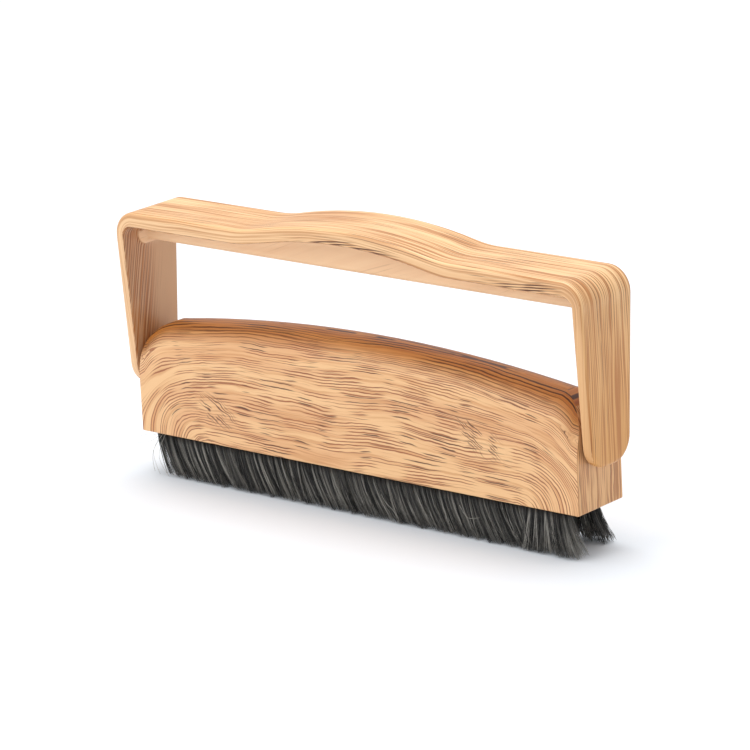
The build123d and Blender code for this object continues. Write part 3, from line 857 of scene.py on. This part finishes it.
class RECORD_BRUSH_OT_loose_hairs(Operator):
    """Catches a few pale loose hairs in the left-hand end of the front row"""

    bl_idname = "record_brush.loose_hairs"
    bl_label = "Loose Hairs"

    def execute(self, context):
        low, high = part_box("front_bristles")
        root = Vector((low.x, (low.y + high.y) / 2, UNDERSIDE))
        curve = bpy.data.curves.new("loose_hairs", "CURVE")
        curve.dimensions = "3D"
        curve.bevel_depth = 0.035 * MM
        curve.bevel_resolution = 0
        curve.use_fill_caps = True
        curve.resolution_u = 6
        # Each hair is a row of points, in millimetres from the first fibre's root.
        for hair in (
            ((0.6, -0.8, 0.0), (-0.6, -1.6, -1.2), (-3.0, -2.0, -2.6), (-5.6, -2.0, -2.9)),
            ((0.9, -1.0, 0.0), (-0.2, -2.2, -2.0), (-1.6, -2.6, -5.0), (-0.6, -2.7, -7.9)),
            ((0.3, -0.6, 0.0), (-1.0, -1.8, -2.4), (-1.4, -2.4, -5.2), (0.8, -2.8, -8.2)),
            ((1.6, -1.2, 0.0), (0.4, -2.4, -3.0), (0.9, -2.9, -6.0), (3.4, -3.0, -8.3)),
            ((0.5, -0.7, 0.0), (-1.4, -2.0, -0.9), (-3.2, -2.4, -0.6), (-4.7, -2.6, -1.4)),
            ((57.0, -2.0, -3.4), (58.6, -2.9, -4.6), (60.8, -3.1, -5.6), (62.0, -3.2, -7.2)),
            ((76.0, -2.0, -2.4), (78.0, -2.9, -4.0), (79.4, -3.1, -4.3), (81.6, -3.2, -3.6)),
        ):
            spline = curve.splines.new("NURBS")
            spline.points.add(len(hair) - 1)
            for point, offset in zip(spline.points, hair):
                point.co = (*(root + Vector(offset) * MM), 1.0)
            spline.order_u = 3
            spline.use_endpoint_u = True
        holder = bpy.data.objects.new("loose_hairs_source", curve)
        context.scene.collection.objects.link(holder)
        graph = context.evaluated_depsgraph_get()
        mesh = bpy.data.meshes.new_from_object(holder.evaluated_get(graph))
        bpy.data.objects.remove(holder)
        mesh.name = "loose_hairs"
        mesh.materials.clear()
        mesh.materials.append(stray_nylon())
        hairs = bpy.data.objects.new("loose_hairs", mesh)
        context.scene.collection.objects.link(hairs)
        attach(hairs, "brush")
        return {"FINISHED"}


class RECORD_BRUSH_OT_fittings(Operator):
    """Finishes the strips, the base insert, the screws and the pivots"""

    bl_idname = "record_brush.fittings"
    bl_label = "Fittings"

    def execute(self, context):
        # Rolled strip shows fine lines along its length; turned and sprung steel is brighter or darker.
        black = moulded_plastic("black_moulded_abs", "#26262A", "#141416", 0.55)
        acetal = moulded_plastic("natural_acetal", "#EDEBE4", "#DAD8CF", 0.42)
        nylon = moulded_plastic("black_nylon", "#2A2A2C", "#19191B", 0.5)
        rolled = worked_metal("mill_rolled_aluminium", "#D5D8DA", "#AEB2B6", 0.36, (60, 2500, 2500))
        drawn = worked_metal("drawn_steel_wire", "#B9B7B2", "#8C8A86", 0.34, (60, 3000, 3000))
        ground = worked_metal("ground_steel_pin", "#C4C3C0", "#9D9C99", 0.25, (4000, 500, 500))
        spring = worked_metal("oiled_spring_steel", "#8D8880", "#625E58", 0.33, (900, 900, 900))
        oxide = worked_metal("black_oxide_screw", "#38383A", "#222224", 0.42, (1200, 1200, 1200))
        finishes = {
            "base_insert": black, "base_screws": oxide, "front_channel": rolled, "rear_channel": rolled,
            "front_core_wire": drawn, "rear_core_wire": drawn}
        for side in ("left", "right"):
            finishes.update({
                f"{side}_pivot_pin": ground, f"{side}_pivot_bush": acetal, f"{side}_thrust_washer": nylon,
                f"{side}_cup_spring": spring, f"{side}_retaining_ring": spring})
        for node, material in finishes.items():
            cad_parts[node].material_slots[0].material = material
        return {"FINISHED"}


class RECORD_BRUSH_PT_pieces(Panel):
    """Lists the pieces of the brush"""

    bl_idname = "RECORD_BRUSH_PT_pieces"
    bl_label = "Record Brush"
    bl_space_type = "VIEW_3D"
    bl_region_type = "UI"
    bl_category = "Record Brush"

    def draw(self, context):
        for operator in OPERATORS:
            self.layout.operator(operator.bl_idname)
        for group in ("record_brush_film", "record_brush_fibres", "record_brush_stage"):
            settings = getattr(context.scene, group)
            for name in settings.__annotations__:
                self.layout.prop(settings, name)


SETTINGS = {
    "record_brush_film": WoodFilmSettings,
    "record_brush_fibres": FibreSettings,
    "record_brush_stage": StageSettings,
}
OPERATORS = (
    RECORD_BRUSH_OT_stage,
    RECORD_BRUSH_OT_body,
    RECORD_BRUSH_OT_handle,
    RECORD_BRUSH_OT_fibres,
    RECORD_BRUSH_OT_loose_hairs,
    RECORD_BRUSH_OT_fittings,
)


def register():
    """Registers the settings, the operators and the panel."""
    for group in (*SETTINGS.values(), *OPERATORS, RECORD_BRUSH_PT_pieces):
        bpy.utils.register_class(group)
    for name, group in SETTINGS.items():
        setattr(bpy.types.Scene, name, PointerProperty(type=group))


def unregister():
    """Takes them away again."""
    for name in SETTINGS:
        delattr(bpy.types.Scene, name)
    for group in reversed((*SETTINGS.values(), *OPERATORS, RECORD_BRUSH_PT_pieces)):
        bpy.utils.unregister_class(group)


def main():
    """Builds every piece in order."""
    register()
    bpy.ops.record_brush.stage()
    bpy.ops.record_brush.body()
    bpy.ops.record_brush.handle()
    bpy.ops.record_brush.fibres()
    bpy.ops.record_brush.loose_hairs()
    bpy.ops.record_brush.fittings()


if __name__ == "__main__":
    main()
